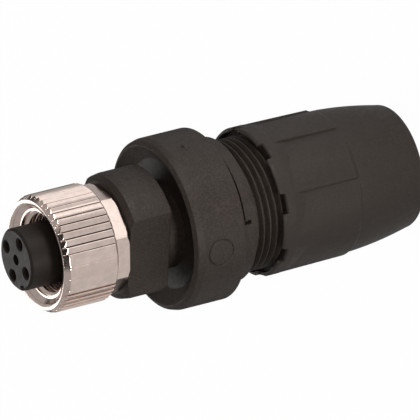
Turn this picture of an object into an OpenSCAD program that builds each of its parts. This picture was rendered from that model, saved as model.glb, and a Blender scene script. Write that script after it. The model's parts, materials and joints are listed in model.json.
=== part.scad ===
// Straight M12 female cable connector, A-coded, four contacts, for field wiring
// without tools: a union nut drives a wire organiser onto insulation-cutting forks.
// Stands on its cable end, +Z up towards the mating face. Millimetres.

/* [Overall] */
// Length from the cable end to the mating face, as drawn
overall_len = 59.5; // [58:0.5:62]
// Angle of the key way around the axis
key_angle = 177; // [0:1:359]

/* [Contact insert] */
// Diameter of the nose that enters the mating plug
insert_d = 8.7; // [8.5:0.05:8.9]
// Length of the nose in front of its sealing ring
insert_nose_len = 8.3; // [7.5:0.1:9]
// Break of the edge round the mating face
insert_edge = 0.3; // [0.1:0.05:0.5]
// Width of the key way
key_w = 1.0; // [0.8:0.05:1.2]
// Depth of the key way
key_depth = 0.8; // [0.5:0.05:0.9]
// Length of the key way
key_len = 7.4; // [5:0.1:7.5]
// Diameter of the flange that traps the coupling nut
insert_flange_d = 11.0; // [10.8:0.05:11.2]
// Thickness of that flange
insert_flange_t = 1.0; // [0.8:0.05:1.2]
// Diameter of the stem behind the flange
insert_stem_d = 8.3; // [8:0.05:8.3]
// Diameter of the empty fifth hole in the middle
centre_hole_d = 1.5; // [1.2:0.05:1.6]
// Depth of the empty fifth hole
centre_hole_depth = 7; // [4:0.25:8]

/* [Face seal] */
// Cross-section of the ring that seals on the mating plug
face_ring_section = 1.2; // [1:0.05:1.25]
// Radial gap between that ring and its seat
face_ring_gap = 0.05; // [0.02:0.01:0.1]

/* [Contacts] */
// Number of contacts
contact_count = 4; // [3:1:4]
// Diameter of the circle that the contacts stand on
contact_circle_d = 5.6; // [5.5:0.05:5.7]
// Outside diameter of a socket
socket_d = 1.8; // [1.6:0.05:1.9]
// Diameter of the hole that takes the plug's pin
socket_bore_d = 1.05; // [1:0.01:1.1]
// Depth of the hole that takes the pin
socket_bore_depth = 6; // [5:0.25:6.5]
// Length of the slit socket
socket_len = 8.2; // [7.5:0.1:8.5]
// Width of the slit in a socket
socket_slit_w = 0.22; // [0.1:0.01:0.25]
// Length of the slit in a socket
socket_slit_len = 4.5; // [3:0.25:5]
// Diameter of the contact's tail
tail_d = 1.1; // [0.9:0.05:1.2]
// Diameter of the entry hole in the mating face
entry_d = 1.45; // [1.3:0.05:1.5]
// How far the socket sits behind the mating face
entry_depth = 0.9; // [0.7:0.05:1.2]
// Widening of the entry hole at the face
entry_flare = 0.25; // [0.1:0.05:0.3]
// Radial gap round a contact in the insert
contact_gap = 0.05; // [0.02:0.01:0.08]

/* [Wire forks] */
// Sheet thickness of a fork
fork_t = 0.6; // [0.5:0.05:0.7]
// Width of a fork
fork_w = 3.6; // [3.2:0.1:3.8]
// Distance of a fork from the axis
fork_radius = 4.9; // [4.7:0.05:5.1]
// Length of a fork behind its foot
fork_len = 5.9; // [5.5:0.1:6.1]
// Width of the cutting slot
fork_slot_w = 0.45; // [0.35:0.05:0.6]
// Length of the cutting slot
fork_slot_len = 2.9; // [2.5:0.1:3.5]
// Width of the foot that joins fork and contact
fork_foot_w = 2.2; // [1.8:0.1:2.4]

/* [Fork carrier] */
// Thickness of the disc that steadies the forks
carrier_t = 2.5; // [2:0.1:2.8]

/* [Coupling nut] */
// How far the insert stands in front of the nut
nut_setback = 3.1; // [2.8:0.05:3.4]
// Diameter over the knurl
nut_d = 16.4; // [16:0.1:17]
// Depth of the knurl
knurl_depth = 0.4; // [0.2:0.05:0.5]
// Number of knurl ribs if they ran all the way round
knurl_count = 48; // [36:4:60]
// Length of the knurled grip
nut_grip_len = 8.4; // [8:0.1:8.8]
// Width across the flats of the octagon behind the grip
octagon_af = 14.2; // [13.5:0.1:14.6]
// Length of the octagon
octagon_len = 2.15; // [1.8:0.05:2.3]
// Angle of the octagon's first corner
octagon_angle = -4.7; // [-22.5:0.1:22.5]
// Major diameter of the coupling thread
thread_d = 12.0; // [11.9:0.05:12.1]
// Diameter of the mouth of the nut
nut_mouth_d = 13.7; // [13:0.05:14]
// Depth of the flare at the mouth
nut_mouth_depth = 0.9; // [0.6:0.05:1.1]
// Angle of the middle of the bare marking panel
panel_angle = -116.5; // [-180:0.5:180]

/* [Front sleeve] */
// Diameter of the journal that the coupling nut turns on
journal_d = 10.1; // [9.8:0.05:10.2]
// Radial running clearance of the coupling nut
nut_running_gap = 0.08; // [0.03:0.01:0.1]
// Axial play of the coupling nut at each end
nut_end_play = 0.12; // [0.08:0.01:0.3]
// Radial gap between the insert's stem and the sleeve
stem_gap = 0.03; // [0.01:0.01:0.05]
// Diameter of the neck
neck_d = 17.55; // [17:0.05:18]
// Length of the neck
neck_len = 6.4; // [6:0.1:6.6]
// How far the neck's front edge falls in
neck_lead_h = 0.6; // [0.3:0.05:1]
// How far back the neck's front edge runs
neck_lead_len = 1.7; // [1:0.05:2.5]
// Width across the two wrench flats
neck_af = 13.0; // [12.6:0.1:13.4]
// Direction in which one wrench flat faces
neck_flat_angle = -124.5; // [-180:0.5:180]
// Diameter of the spigot that enters the housing
spigot_d = 12.2; // [12:0.05:12.4]
// Length of the spigot
spigot_len = 3.7; // [3.5:0.1:3.9]

/* [Sleeve seal] */
// Cross-section of the ring that seals the spigot
spigot_ring_section = 0.9; // [0.7:0.05:0.95]
// Radial gap between that ring and the parts
spigot_ring_gap = 0.03; // [0.01:0.01:0.05]
// How far behind the recess's floor the ring's groove starts
spigot_groove_setback = 0.15; // [0.1:0.05:0.3]

/* [Housing] */
// Gap between the neck and the flange
flange_gap = 1.0; // [0.8:0.05:1.2]
// Diameter of the flange
flange_d = 24.0; // [23.6:0.1:24.4]
// Length of the flange
flange_len = 7.8; // [7.4:0.1:8.2]
// How far the flange's front edge falls in
flange_lead_h = 0.8; // [0.4:0.05:1.2]
// How far back the flange's front edge runs
flange_lead_len = 1.25; // [0.8:0.05:2]
// Break of the flange's rear edge
flange_break = 0.25; // [0.1:0.05:0.4]
// Diameter of the recess in the flange's front
recess_d = 22.2; // [21:0.1:22.4]
// Diameter of the recess at its floor
recess_floor_d = 18.2; // [17:0.1:19]
// Depth of that recess
recess_depth = 1.5; // [1.2:0.1:1.6]
// Radial gap between spigot and housing
spigot_gap = 0.03; // [0.01:0.01:0.05]
// Diameter of the collar behind the flange
collar_d = 20.2; // [19.9:0.1:20.4]
// Length of the collar
collar_len = 2.8; // [2.5:0.1:3]
// Diameter of the housing's thread at its root
housing_thread_root_d = 17.2; // [17:0.05:17.3]
// Depth of the housing's thread
housing_thread_depth = 0.65; // [0.5:0.05:0.7]
// Pitch of the housing's thread
housing_thread_pitch = 1.0; // [0.8:0.05:1.25]
// Length of the threaded barrel
barrel_len = 12.7; // [12:0.1:13]
// Diameter of the wiring chamber
chamber_d = 14.8; // [14.6:0.05:14.9]
// Width of the two guide grooves in the chamber
guide_w = 1.3; // [1.1:0.05:1.5]
// Depth of the guide grooves
guide_depth = 0.5; // [0.4:0.05:0.6]

/* [Ratchet pawl] */
// Width of the slot that frees the pawl
pawl_slot_w = 1.1; // [0.8:0.05:1.3]
// Depth of that slot below the collar's surface
pawl_slot_depth = 0.9; // [0.6:0.05:1]
// Angle at which the slot starts
pawl_start = -107; // [-120:1:-90]
// Angle that the slot sweeps
pawl_sweep = 106; // [80:1:120]
// Angle at which the pawl's tooth starts
pawl_tooth_angle = -120; // [-130:1:-110]
// Height of the pawl's tooth behind the collar
pawl_tooth_h = 0.35; // [0.2:0.05:0.4]
// Width of the pawl's tooth around the axis, in degrees
pawl_tooth_sweep = 9; // [6:1:12]
// Diameter of the moulding pip on the flange
pip_d = 1.1; // [0.8:0.1:1.4]
// Height of the moulding pip
pip_h = 0.3; // [0.2:0.05:0.35]
// Diameter of the gate ring moulded in the flange
gate_ring_d = 3.9; // [3:0.1:4.5]
// Width and depth of the gate ring's groove
gate_ring_w = 0.16; // [0.1:0.02:0.2]

/* [Wire organiser] */
// Diameter of the organiser
organiser_d = 14.4; // [14.2:0.05:14.5]
// Length of the organiser
organiser_len = 7.5; // [7:0.1:8]
// Gap between organiser and fork carrier when the nut is home
organiser_home_gap = 0.25; // [0.15:0.05:0.4]
// Diameter of the holes that take the wires
wire_hole_d = 1.7; // [1.4:0.05:1.9]
// Distance of the wire holes behind the organiser's front
wire_hole_setback = 2.6; // [2.4:0.1:2.9]
// Diameter of the well where the cable's wires part
organiser_well_d = 6.4; // [6:0.1:6.8]
// Depth of that well
organiser_well_depth = 3.2; // [2.8:0.1:3.6]
// Clearance round a fork in its slot
fork_slot_gap = 0.2; // [0.1:0.05:0.3]
// Clearance of the guide ribs in their grooves
guide_gap = 0.1; // [0.05:0.01:0.15]

/* [Cable gland] */
// Outside diameter of the rubber seal
seal_d = 14.2; // [14:0.05:14.4]
// Length of the rubber seal
seal_len = 6.9; // [6.5:0.1:7.2]
// Bore of the rubber seal
seal_bore_d = 6.8; // [6.4:0.1:7]
// Depth of the funnel at each end of the seal
seal_funnel = 0.8; // [0.5:0.1:1]
// Thickness of the slip washer
washer_t = 0.5; // [0.4:0.05:0.6]
// Bore of the slip washer
washer_bore_d = 8.0; // [7.6:0.1:8.4]
// Axial gap between the pieces of the gland
gland_gap = 0.05; // [0.02:0.01:0.1]
// Diameter of the clamp cage's ring
cage_ring_d = 14.4; // [14.2:0.05:14.5]
// Length of the clamp cage's ring
cage_ring_len = 2.3; // [2:0.1:2.5]
// Number of clamping fingers
finger_count = 8; // [6:1:10]
// Width of the gap between two fingers
finger_gap_w = 1.1; // [0.8:0.1:1.4]
// Bore between the fingers
finger_bore_d = 8.4; // [8:0.1:8.6]
// Height of the gripping teeth inside the fingers
finger_tooth_h = 0.35; // [0.2:0.05:0.4]
// Clearance between the fingers and the nut's cone
finger_gap = 0.15; // [0.1:0.01:0.3]

/* [Union nut] */
// Turns that the nut can still be tightened from the pose as drawn
tighten_turns = 3.5; // [3:0.25:3.5]
// Diameter of the nut behind its rim
union_d = 20.85; // [20.6:0.05:21.1]
// Diameter of the rim's front edge
union_rim_d = 20.5; // [20.2:0.05:20.7]
// Length of the plain band behind the rim
union_band_len = 2.1; // [1.8:0.1:2.4]
// Clearance between the rim and the pawl's tooth when the nut is home
rim_home_gap = 0.15; // [0.1:0.05:0.3]
// Number of ratchet notches and grip pads
notch_count = 8; // [6:1:9]
// Width of a ratchet notch, in degrees
notch_sweep = 16; // [10:1:20]
// Depth of a ratchet notch
notch_depth = 0.75; // [0.5:0.05:0.9]
// Length of the saw-toothed grip pads
pad_len = 10.8; // [10:0.1:11.4]
// Height of a grip pad at its step
pad_h = 0.45; // [0.3:0.05:0.5]
// Loss of diameter along the pads
pad_taper = 0.3; // [0.1:0.05:0.4]
// Angle of the first pad's step
pad_angle = -2.5; // [-20:0.5:20]
// Diameter that the long body comes down to before its rounded end
union_end_d = 17.25; // [16:0.05:18]
// Share of that fall that is a straight slope, the rest being a curve
union_crown_share = 0.34; // [0.2:0.02:0.8]
// Radius of the edge at the cable end
union_end_round = 0.9; // [0.5:0.1:1.2]
// Radial clearance of the nut outside the housing's thread
union_thread_gap = 0.08; // [0.05:0.01:0.12]
// Diameter of the wide mouth in front of the union nut's thread
union_mouth_d = 19.8; // [19.2:0.1:20]
// Depth of that mouth
union_mouth_depth = 1.3; // [0.8:0.1:1.6]
// Length over which the band runs down to the foot of the pads
union_band_run = 2.4; // [1:0.1:3]
// Depth of the threaded bore behind the rim
union_bore_depth = 14.2; // [13.8:0.1:14.4]
// Diameter of the cage's room behind the thread
union_cage_d = 16.8; // [16.6:0.05:17]
// Small diameter of the cone that closes the fingers
union_cone_d = 11.4; // [11:0.1:11.8]
// Length of that cone
union_cone_len = 5.2; // [4.8:0.1:5.4]
// Diameter of the cable entry
cable_entry_d = 9.0; // [8.6:0.1:9.4]
// Thickness of the wall round the cable entry
union_end_t = 2.2; // [2:0.1:2.6]
// Flare of the cable entry
cable_entry_flare = 0.5; // [0.3:0.05:0.7]

/* [Hidden] */
$fn = 96;
eps = 0.02;       // overshoot of a cut past a face
reach = 40;       // longer and wider than any piece

// Stations, all measured back from the mating face
face_ring_at = insert_nose_len;
insert_flange_at = face_ring_at + face_ring_section;
journal_at = insert_flange_at + insert_flange_t;
nut_rear_at = nut_setback + nut_grip_len + octagon_len;
neck_at = nut_rear_at + 2 * nut_end_play;
neck_rear_at = neck_at + neck_len;
spigot_end_at = neck_rear_at + spigot_len;
flange_at = neck_rear_at + flange_gap;
recess_floor_at = flange_at + recess_depth;
flange_rear_at = flange_at + flange_len;
collar_rear_at = flange_rear_at + collar_len;
barrel_end_at = collar_rear_at + barrel_len;
chamber_at = spigot_end_at;
fork_foot_at = chamber_at + gland_gap;
fork_tip_at = fork_foot_at + fork_t + fork_len;
carrier_at = fork_foot_at + fork_t + gland_gap;
carrier_rear_at = carrier_at + carrier_t;
tighten_travel = tighten_turns * housing_thread_pitch;
organiser_at = carrier_rear_at + organiser_home_gap + tighten_travel;
seal_at = organiser_at + organiser_len + gland_gap;
washer_at = seal_at + seal_len + gland_gap;
cage_at = washer_at + washer_t + gland_gap;
rim_at = collar_rear_at + pawl_tooth_h + rim_home_gap + tighten_travel;
pad_at = rim_at + union_band_len;
pad_end_at = pad_at + pad_len;
bore_end_at = rim_at + union_bore_depth;
cone_end_at = overall_len - union_end_t;
cone_at = cone_end_at - union_cone_len;
fingers_at = barrel_end_at + tighten_travel + organiser_home_gap;

// Sizes that follow from the ones above
insert_r = insert_d / 2;
stem_r = insert_stem_d / 2;
face_seat_depth = 0.2;
face_seat_r = insert_r - face_seat_depth;
octagon_sides = 8;
spigot_groove_at = recess_floor_at + spigot_groove_setback;
socket_hole_d = socket_d + 2 * contact_gap;
tail_hole_d = tail_d + 2 * contact_gap;
contact_step = 360 / contact_count;
nut_bore_r = journal_d / 2 + nut_running_gap;
nut_root_r = nut_d / 2 - knurl_depth;
spigot_groove_r = spigot_d / 2 - spigot_ring_section + spigot_ring_gap;
spigot_groove_w = spigot_ring_section + 2 * spigot_ring_gap;
housing_thread_r = housing_thread_root_d / 2 + housing_thread_depth;
union_bore_r = housing_thread_r + union_thread_gap;
union_low_r = union_d / 2 - pad_h;
notch_step = 360 / notch_count;

// Height above the cable end of a station measured back from the mating face
function up(s) = overall_len - s;

// Point of a revolved outline: radius r at station s
function at(r, s) = [r, up(s)];

// Softened chamfer up to radius r: it starts at station s, h further in, and is len long
function lead(r, s, h, len, knee = 0.3) =
    [at(r - h, s), at(r - knee * h, s + knee * len), at(r, s + len)];

// Quarter-round between two directions, as points about the centre (r, s)
function arc_points(r, s, radius, from, to, steps = 6) =
    [for (i = [0:steps]) let (a = from + (to - from) * i / steps)
        at(r + radius * cos(a), s - radius * sin(a))];

// Turns an outline of (radius, height) points into a solid of revolution
module revolve(points) {
    rotate_extrude() polygon(points);
}

// Cylinder between two stations
module bar(d, from, to) {
    translate([0, 0, up(to)]) cylinder(d = d, h = to - from);
}

// Cone between two stations
module taper(d_from, d_to, from, to) {
    translate([0, 0, up(to)]) cylinder(d1 = d_to, d2 = d_from, h = to - from);
}

// Places its children at every contact, turned to face outwards
module at_contact(k) {
    rotate([0, 0, key_angle + contact_step * (k - 0.5)]) children();
}

// Flat sector from angle 0 to sweep, out to radius r
module sector(r, sweep) {
    polygon([[0, 0], for (i = [0:4]) r * [cos(sweep * i / 4), sin(sweep * i / 4)]]);
}

// Ring of square section cut to a sector: radii r_in to r_out, stations from to
module ring_sector(r_in, r_out, from, to, start, sweep) {
    translate([0, 0, up(to)]) rotate([0, 0, start]) linear_extrude(height = to - from)
        intersection() {
            difference() {
                circle(r = r_out);
                circle(r = r_in);
            }
            sector(2 * r_out, sweep);
        }
}

// Outline of the grip: knurl ribs all round, but for the flat-sided marking panel
module knurl_outline() {
    pitch = 360 / knurl_count;
    panel_ribs = 5;
    facets = 3;
    ribs = knurl_count - panel_ribs;
    tip_r = nut_d / 2;
    start = panel_angle + panel_ribs * pitch / 2;
    rib = [[0, nut_root_r], [0.14, nut_root_r], [0.3, tip_r], [0.84, tip_r]];  // [share, r]
    polygon([
        for (i = [0:ribs - 1]) for (p = rib)
            p[1] * [cos(start + (i + p[0]) * pitch), sin(start + (i + p[0]) * pitch)],
        for (j = [0:facets]) let (a = start + (ribs + panel_ribs * j / facets) * pitch)
            tip_r * [cos(a), sin(a)]
    ]);
}

// Plated brass nut: knurled grip in front, octagon behind, lip that the insert traps
module coupling_nut() {
    grip_rear_at = nut_setback + nut_grip_len;
    rib_run_in = 0.9;
    rib_run_out = 0.45;
    rib_foot_r = nut_root_r + 0.03;
    front_ring_r = nut_root_r + 0.06;
    front_ring_len = 0.45;
    foot_run = 0.35;
    lip_at = journal_at + nut_end_play;
    lip_break = 0.3;
    color("lightgray") difference() {
        union() {
            intersection() {
                translate([0, 0, up(grip_rear_at)]) linear_extrude(height = nut_grip_len)
                    knurl_outline();
                revolve([
                    at(0, nut_setback), at(rib_foot_r, nut_setback),
                    at(rib_foot_r, nut_setback + foot_run),
                    at(nut_d / 2, nut_setback + rib_run_in),
                    at(nut_d / 2, grip_rear_at - rib_run_out),
                    at(rib_foot_r, grip_rear_at), at(0, grip_rear_at)
                ]);
            }
            bar(2 * front_ring_r, nut_setback, nut_setback + front_ring_len);
            translate([0, 0, up(nut_rear_at)]) rotate([0, 0, octagon_angle])
                cylinder(d = octagon_af / cos(180 / octagon_sides), h = octagon_len + eps,
                    $fn = octagon_sides);
        }
        bar(thread_d, nut_setback - eps, lip_at);
        taper(nut_mouth_d, thread_d, nut_setback, nut_setback + nut_mouth_depth);
        bar(2 * nut_bore_r, lip_at - eps, nut_rear_at + eps);
        taper(2 * nut_bore_r, 2 * (nut_bore_r + lip_break), nut_rear_at - lip_break, nut_rear_at + eps);
    }
}

// Contact carrier: keyed nose, trapping flange and stem, with a hole for each contact
module contact_insert() {
    face_bevel = insert_r - insert_edge;
    color("dimgray") difference() {
        rotate([0, 0, key_angle]) revolve([
            at(0, 0), at(face_bevel, 0), at(insert_r, insert_edge),
            at(insert_r, face_ring_at), at(face_seat_r, face_ring_at),
            at(face_seat_r, insert_flange_at), at(insert_flange_d / 2, insert_flange_at),
            at(insert_flange_d / 2, journal_at), at(stem_r, journal_at),
            at(stem_r, spigot_end_at), at(0, spigot_end_at)
        ]);
        rotate([0, 0, key_angle]) translate([insert_r - key_depth, -key_w / 2, up(key_len)])
            cube([insert_d, key_w, key_len + eps]);
        bar(centre_hole_d, -eps, centre_hole_depth);
        for (k = [1:contact_count]) at_contact(k) translate([contact_circle_d / 2, 0, 0]) {
            taper(entry_d + 2 * entry_flare, entry_d, -eps, entry_flare);
            bar(entry_d, -eps, entry_depth + eps);
            bar(socket_hole_d, entry_depth, entry_depth + socket_len + gland_gap);
            bar(tail_hole_d, entry_depth + socket_len, spigot_end_at + eps);
        }
    }
}

// Rubber ring at the foot of the nose, pressed by the mating plug
module face_ring() {
    section_r = face_ring_section / 2;
    color("black") translate([0, 0, up(face_ring_at + section_r)]) rotate_extrude()
        translate([face_seat_r + face_ring_gap + section_r, 0]) circle(r = section_r, $fn = 24);
}

// Slit socket with a solid tail that is riveted into its wire fork
module socket(k) {
    tip_at = entry_depth;
    shoulder_at = tip_at + socket_len;
    mouth = (socket_d - socket_bore_d) / 4;
    rivet_end_at = fork_foot_at + fork_t;
    color("gold") at_contact(k) translate([contact_circle_d / 2, 0, 0]) difference() {
        revolve([
            at(socket_bore_d / 2 + mouth, tip_at), at(socket_d / 2, tip_at + mouth),
            at(socket_d / 2, shoulder_at), at(tail_d / 2, shoulder_at),
            at(tail_d / 2, rivet_end_at), at(0, rivet_end_at),
            at(0, tip_at + socket_bore_depth),
            at(socket_bore_d / 2, tip_at + socket_bore_depth - socket_bore_d / 4),
            at(socket_bore_d / 2, tip_at + mouth)
        ]);
        translate([-socket_d, -socket_slit_w / 2, up(tip_at + socket_slit_len)])
            cube([2 * socket_d, socket_slit_w, socket_slit_len + eps]);
    }
}

// Bent sheet fork whose slot cuts through a wire's insulation
module wire_fork(k) {
    inner = contact_circle_d / 2 - fork_foot_w / 2;
    outer = fork_radius + fork_t / 2;
    eye_r = fork_slot_w / 2 + 0.15;
    funnel = 0.7;
    rivet_gap = 0.03;
    color("silver") at_contact(k) difference() {
        union() {
            translate([inner, -fork_foot_w / 2, up(fork_foot_at + fork_t)])
                cube([outer - inner, fork_foot_w, fork_t]);
            translate([outer - fork_t, 0, up(fork_tip_at)]) rotate([90, 0, 90])
                linear_extrude(height = fork_t) polygon([
                    [-fork_w / 2, fork_t], [-fork_w / 2, fork_len + fork_t],
                    [fork_w / 2, fork_len + fork_t], [fork_w / 2, fork_t],
                    [fork_w / 4, 0], [-fork_w / 4, 0]
                ]);
        }
        translate([contact_circle_d / 2, 0, up(fork_foot_at + fork_t + eps)])
            cylinder(r = tail_d / 2 + rivet_gap, h = fork_t + 2 * eps);
        translate([outer - fork_t - eps, 0, up(fork_tip_at)]) rotate([90, 0, 90])
            linear_extrude(height = fork_t + 2 * eps) {
                translate([-fork_slot_w / 2, -eps]) square([fork_slot_w, fork_slot_len]);
                translate([0, fork_slot_len]) circle(r = eye_r, $fn = 24);
                polygon([[-funnel, -eps], [funnel, -eps], [0, funnel]]);
            }
    }
}

// Disc that steadies the forks at the bottom of the wiring chamber
module fork_carrier() {
    rim_gap = 0.1;
    slot_t = fork_t + fork_slot_gap / 2;
    slot_w = fork_w + fork_slot_gap / 2;
    hub_d = contact_circle_d - fork_foot_w;
    hub_h = 0.8;
    hub_draft = 0.5;
    color("darkslategray") difference() {
        union() {
            bar(chamber_d - 2 * rim_gap, carrier_at, carrier_rear_at);
            taper(hub_d + 2 * hub_draft, hub_d, carrier_rear_at - eps, carrier_rear_at + hub_h);
        }
        for (k = [1:contact_count]) at_contact(k)
            translate([fork_radius - slot_t / 2, -slot_w / 2, up(carrier_rear_at + reach / 2)])
                cube([slot_t, slot_w, reach]);
    }
}

// Plastic sleeve that carries the coupling nut and holds the insert in the housing
module front_sleeve() {
    neck_r = neck_d / 2;
    color("dimgray") difference() {
        union() {
            bar(journal_d, journal_at, neck_at + eps);
            intersection() {
                revolve(concat(
                    [at(0, neck_at)],
                    lead(neck_r, neck_at, neck_lead_h, neck_lead_len),
                    [at(neck_r, neck_rear_at), at(0, neck_rear_at)]
                ));
                rotate([0, 0, neck_flat_angle]) translate([-neck_af / 2, -reach / 2, 0])
                    cube([neck_af, reach, 2 * reach]);
            }
            bar(spigot_d, neck_rear_at - eps, spigot_end_at);
        }
        bar(insert_stem_d + 2 * stem_gap, journal_at - eps, spigot_end_at + eps);
        difference() {
            bar(2 * reach, spigot_groove_at, spigot_groove_at + spigot_groove_w);
            bar(2 * spigot_groove_r, spigot_groove_at - eps,
                spigot_groove_at + spigot_groove_w + eps);
        }
    }
}

// Rubber ring that seals the front sleeve in the housing
module spigot_ring() {
    section_r = spigot_ring_section / 2 - spigot_ring_gap;
    color("black") translate([0, 0, up(spigot_groove_at + spigot_groove_w / 2)])
        rotate_extrude()
            translate([spigot_groove_r + spigot_ring_gap + section_r, 0])
                circle(r = section_r, $fn = 24);
}

// Saw tooth on the rear of the collar that clicks into the union nut's notches
module pawl_tooth() {
    r_in = housing_thread_root_d / 2 - eps;
    land = 0.1;
    steps = 3;
    for (i = [1:steps])
        ring_sector(r_in, collar_d / 2 - land, collar_rear_at - eps,
            collar_rear_at + pawl_tooth_h * i / steps,
            pawl_tooth_angle,
            pawl_tooth_sweep * (1 - (i - 1) / steps));
}

// Outline of the barrel's thread, drawn as one plain ridge to each turn
function thread_ridges() = let (
    root_r = housing_thread_root_d / 2,
    crest = housing_thread_pitch / 8,
    foot = crest + 2 * housing_thread_depth * tan(30),
    run_in = 1.2,
    run_out = 0.9,
    turns = floor((barrel_len - run_in - run_out) / housing_thread_pitch)
) [
    for (i = [0:turns]) let (s = collar_rear_at + run_in + i * housing_thread_pitch)
        for (p = [[root_r, -foot], [housing_thread_r, -crest],
                  [housing_thread_r, crest], [root_r, foot]])
            at(p[0], s + p[1] / 2)
];

// Main housing: flange, collar with the pawl, and the barrel that takes the union nut
module housing() {
    flange_r = flange_d / 2;
    collar_r = collar_d / 2;
    barrel_r = housing_thread_root_d / 2;
    collar_break = 0.2;
    barrel_break = 0.4;
    hook_len = 1.95;
    hook_w = 0.5;
    hook_lag = 0.2;
    hook_rise = 0.05;
    pip_angle = -39.4;
    pip_at = flange_at + flange_len / 2;
    gate_angle = -118.8;
    gate_at = flange_at + flange_len / 2 - 0.1;
    slot_r = collar_r - pawl_slot_depth;
    root = 1;       // how deep the pip and the gate ring's cutter reach into the flange
    color("dimgray") {
        difference() {
            union() {
                revolve(concat(
                    [at(0, flange_at)],
                    lead(flange_r, flange_at, flange_lead_h, flange_lead_len),
                    [
                        at(flange_r, flange_rear_at - flange_break),
                        at(flange_r - flange_break, flange_rear_at),
                        at(collar_r, flange_rear_at), at(collar_r, collar_rear_at - collar_break),
                        at(collar_r - collar_break, collar_rear_at), at(barrel_r, collar_rear_at)
                    ],
                    thread_ridges(),
                    [
                        at(barrel_r, barrel_end_at - barrel_break),
                        at(barrel_r - barrel_break, barrel_end_at), at(0, barrel_end_at)
                    ]
                ));
                pawl_tooth();
                rotate([0, 0, pip_angle]) translate([flange_r - root, 0, up(pip_at)])
                    rotate([0, 90, 0]) cylinder(d = pip_d, h = root + pip_h);
            }
            taper(recess_d, recess_floor_d, flange_at - eps, recess_floor_at);
            bar(spigot_d + 2 * spigot_gap, recess_floor_at - eps, chamber_at + eps);
            bar(chamber_d, chamber_at, barrel_end_at + eps);
            for (a = [0, 180]) rotate([0, 0, a])
                translate([0, -guide_w / 2, up(barrel_end_at + eps)])
                    cube([chamber_d / 2 + guide_depth, guide_w, barrel_end_at - carrier_rear_at]);
            ring_sector(slot_r, reach, flange_rear_at, flange_rear_at + pawl_slot_w,
                pawl_start, pawl_sweep);
            ring_sector(slot_r + hook_rise, reach, flange_rear_at + pawl_slot_w / 2,
                flange_rear_at + hook_len, pawl_start + hook_lag, hook_w / collar_r * 180 / PI);
            rotate([0, 0, gate_angle]) translate([flange_r - gate_ring_w, 0, up(gate_at)])
                rotate([0, 90, 0]) difference() {
                    cylinder(d = gate_ring_d, h = root);
                    translate([0, 0, -eps])
                        cylinder(d = gate_ring_d - 2 * gate_ring_w, h = root + 2 * eps);
                }
        }
    }
}

// Slide that bends the four wires outwards and presses them into the forks
module wire_organiser() {
    rear_at = organiser_at + organiser_len;
    fork_well = fork_tip_at - carrier_rear_at + organiser_home_gap;
    slot_t = fork_t + 2 * fork_slot_gap;
    slot_w = fork_w + 2 * fork_slot_gap;
    hub_room = 0.8;
    hub_clear_d = contact_circle_d - fork_foot_w + 2 * hub_room;
    hub_clear = 1.0;
    rib_w = guide_w - 2 * guide_gap;
    rib_r = chamber_d / 2 + guide_depth - guide_gap;
    color("darkslategray") difference() {
        union() {
            bar(organiser_d, organiser_at, rear_at);
            for (a = [0, 180]) rotate([0, 0, a])
                translate([0, -rib_w / 2, up(rear_at)]) cube([rib_r, rib_w, organiser_len]);
        }
        bar(hub_clear_d, organiser_at - eps, organiser_at + hub_clear);
        bar(organiser_well_d, rear_at - organiser_well_depth, rear_at + eps);
        for (k = [1:contact_count]) at_contact(k) {
            translate([fork_radius - slot_t / 2, -slot_w / 2, up(organiser_at + fork_well)])
                cube([slot_t, slot_w, fork_well + eps]);
            translate([0, 0, up(organiser_at + wire_hole_setback)])
                rotate([0, 90, 0]) cylinder(d = wire_hole_d, h = reach);
        }
    }
}

// Rubber sleeve that is squeezed round the cable
module cable_seal() {
    seal_r = seal_d / 2;
    bore_r = seal_bore_d / 2;
    rear_at = seal_at + seal_len;
    waist = 0.5;
    bead = seal_len / 4;
    color("black") revolve([
        at(bore_r + seal_funnel, seal_at), at(seal_r, seal_at),
        at(seal_r, seal_at + bead), at(seal_r - waist, seal_at + bead + waist),
        at(seal_r - waist, rear_at - bead - waist), at(seal_r, rear_at - bead),
        at(seal_r, rear_at), at(bore_r + seal_funnel, rear_at),
        at(bore_r, rear_at - seal_funnel), at(bore_r, seal_at + seal_funnel)
    ]);
}

// Thin plastic washer that keeps the seal from twisting with the cage
module slip_washer() {
    color("whitesmoke") difference() {
        bar(seal_d, washer_at, washer_at + washer_t);
        bar(washer_bore_d, washer_at - eps, washer_at + washer_t + eps);
    }
}

// Cage of springy fingers that the nut's cone closes on the cable
module clamp_cage() {
    ring_rear_at = cage_at + cage_ring_len;
    finger_r = union_cage_d / 2 - finger_gap;
    tip_r = union_cone_d / 2 - finger_gap;
    tip_at = cone_end_at - finger_gap;
    bore_r = finger_bore_d / 2;
    tooth_at = tip_at - 3.4;
    tooth_pitch = 1.4;
    tooth_len = 0.6;
    tooth_count = 2;
    color("slategray") difference() {
        revolve(concat(
            [
                at(bore_r, cage_at), at(cage_ring_d / 2, cage_at),
                at(cage_ring_d / 2, ring_rear_at), at(finger_r, fingers_at),
                at(finger_r, cone_at), at(tip_r, tip_at), at(bore_r, tip_at)
            ],
            [for (i = [tooth_count - 1:-1:0])
                for (p = [[0, tooth_len], [finger_tooth_h, tooth_len], [0, 0]])
                    at(bore_r - p[0], tooth_at + i * tooth_pitch + p[1])]
        ));
        for (i = [0:finger_count - 1]) rotate([0, 0, i * 360 / finger_count])
            translate([0, -finger_gap_w / 2, up(tip_at + eps)])
                cube([reach, finger_gap_w, tip_at - ring_rear_at - finger_gap_w]);
    }
}

// Saw-toothed grip: each pad is an arc about its own centre, high at its step
module pad_outline() {
    lean = notch_step / 2;
    offset_r = pad_h / (cos(lean) - cos(lean + notch_step));
    arc_r = union_d / 2 - offset_r * cos(lean);
    lap = 0.6;      // degrees that a pad runs on under the next one's step
    for (i = [0:notch_count - 1]) rotate([0, 0, pad_angle + i * notch_step]) intersection() {
        sector(2 * union_d, notch_step + lap);
        rotate([0, 0, -lean]) translate([offset_r, 0]) circle(r = arc_r);
    }
}

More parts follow.
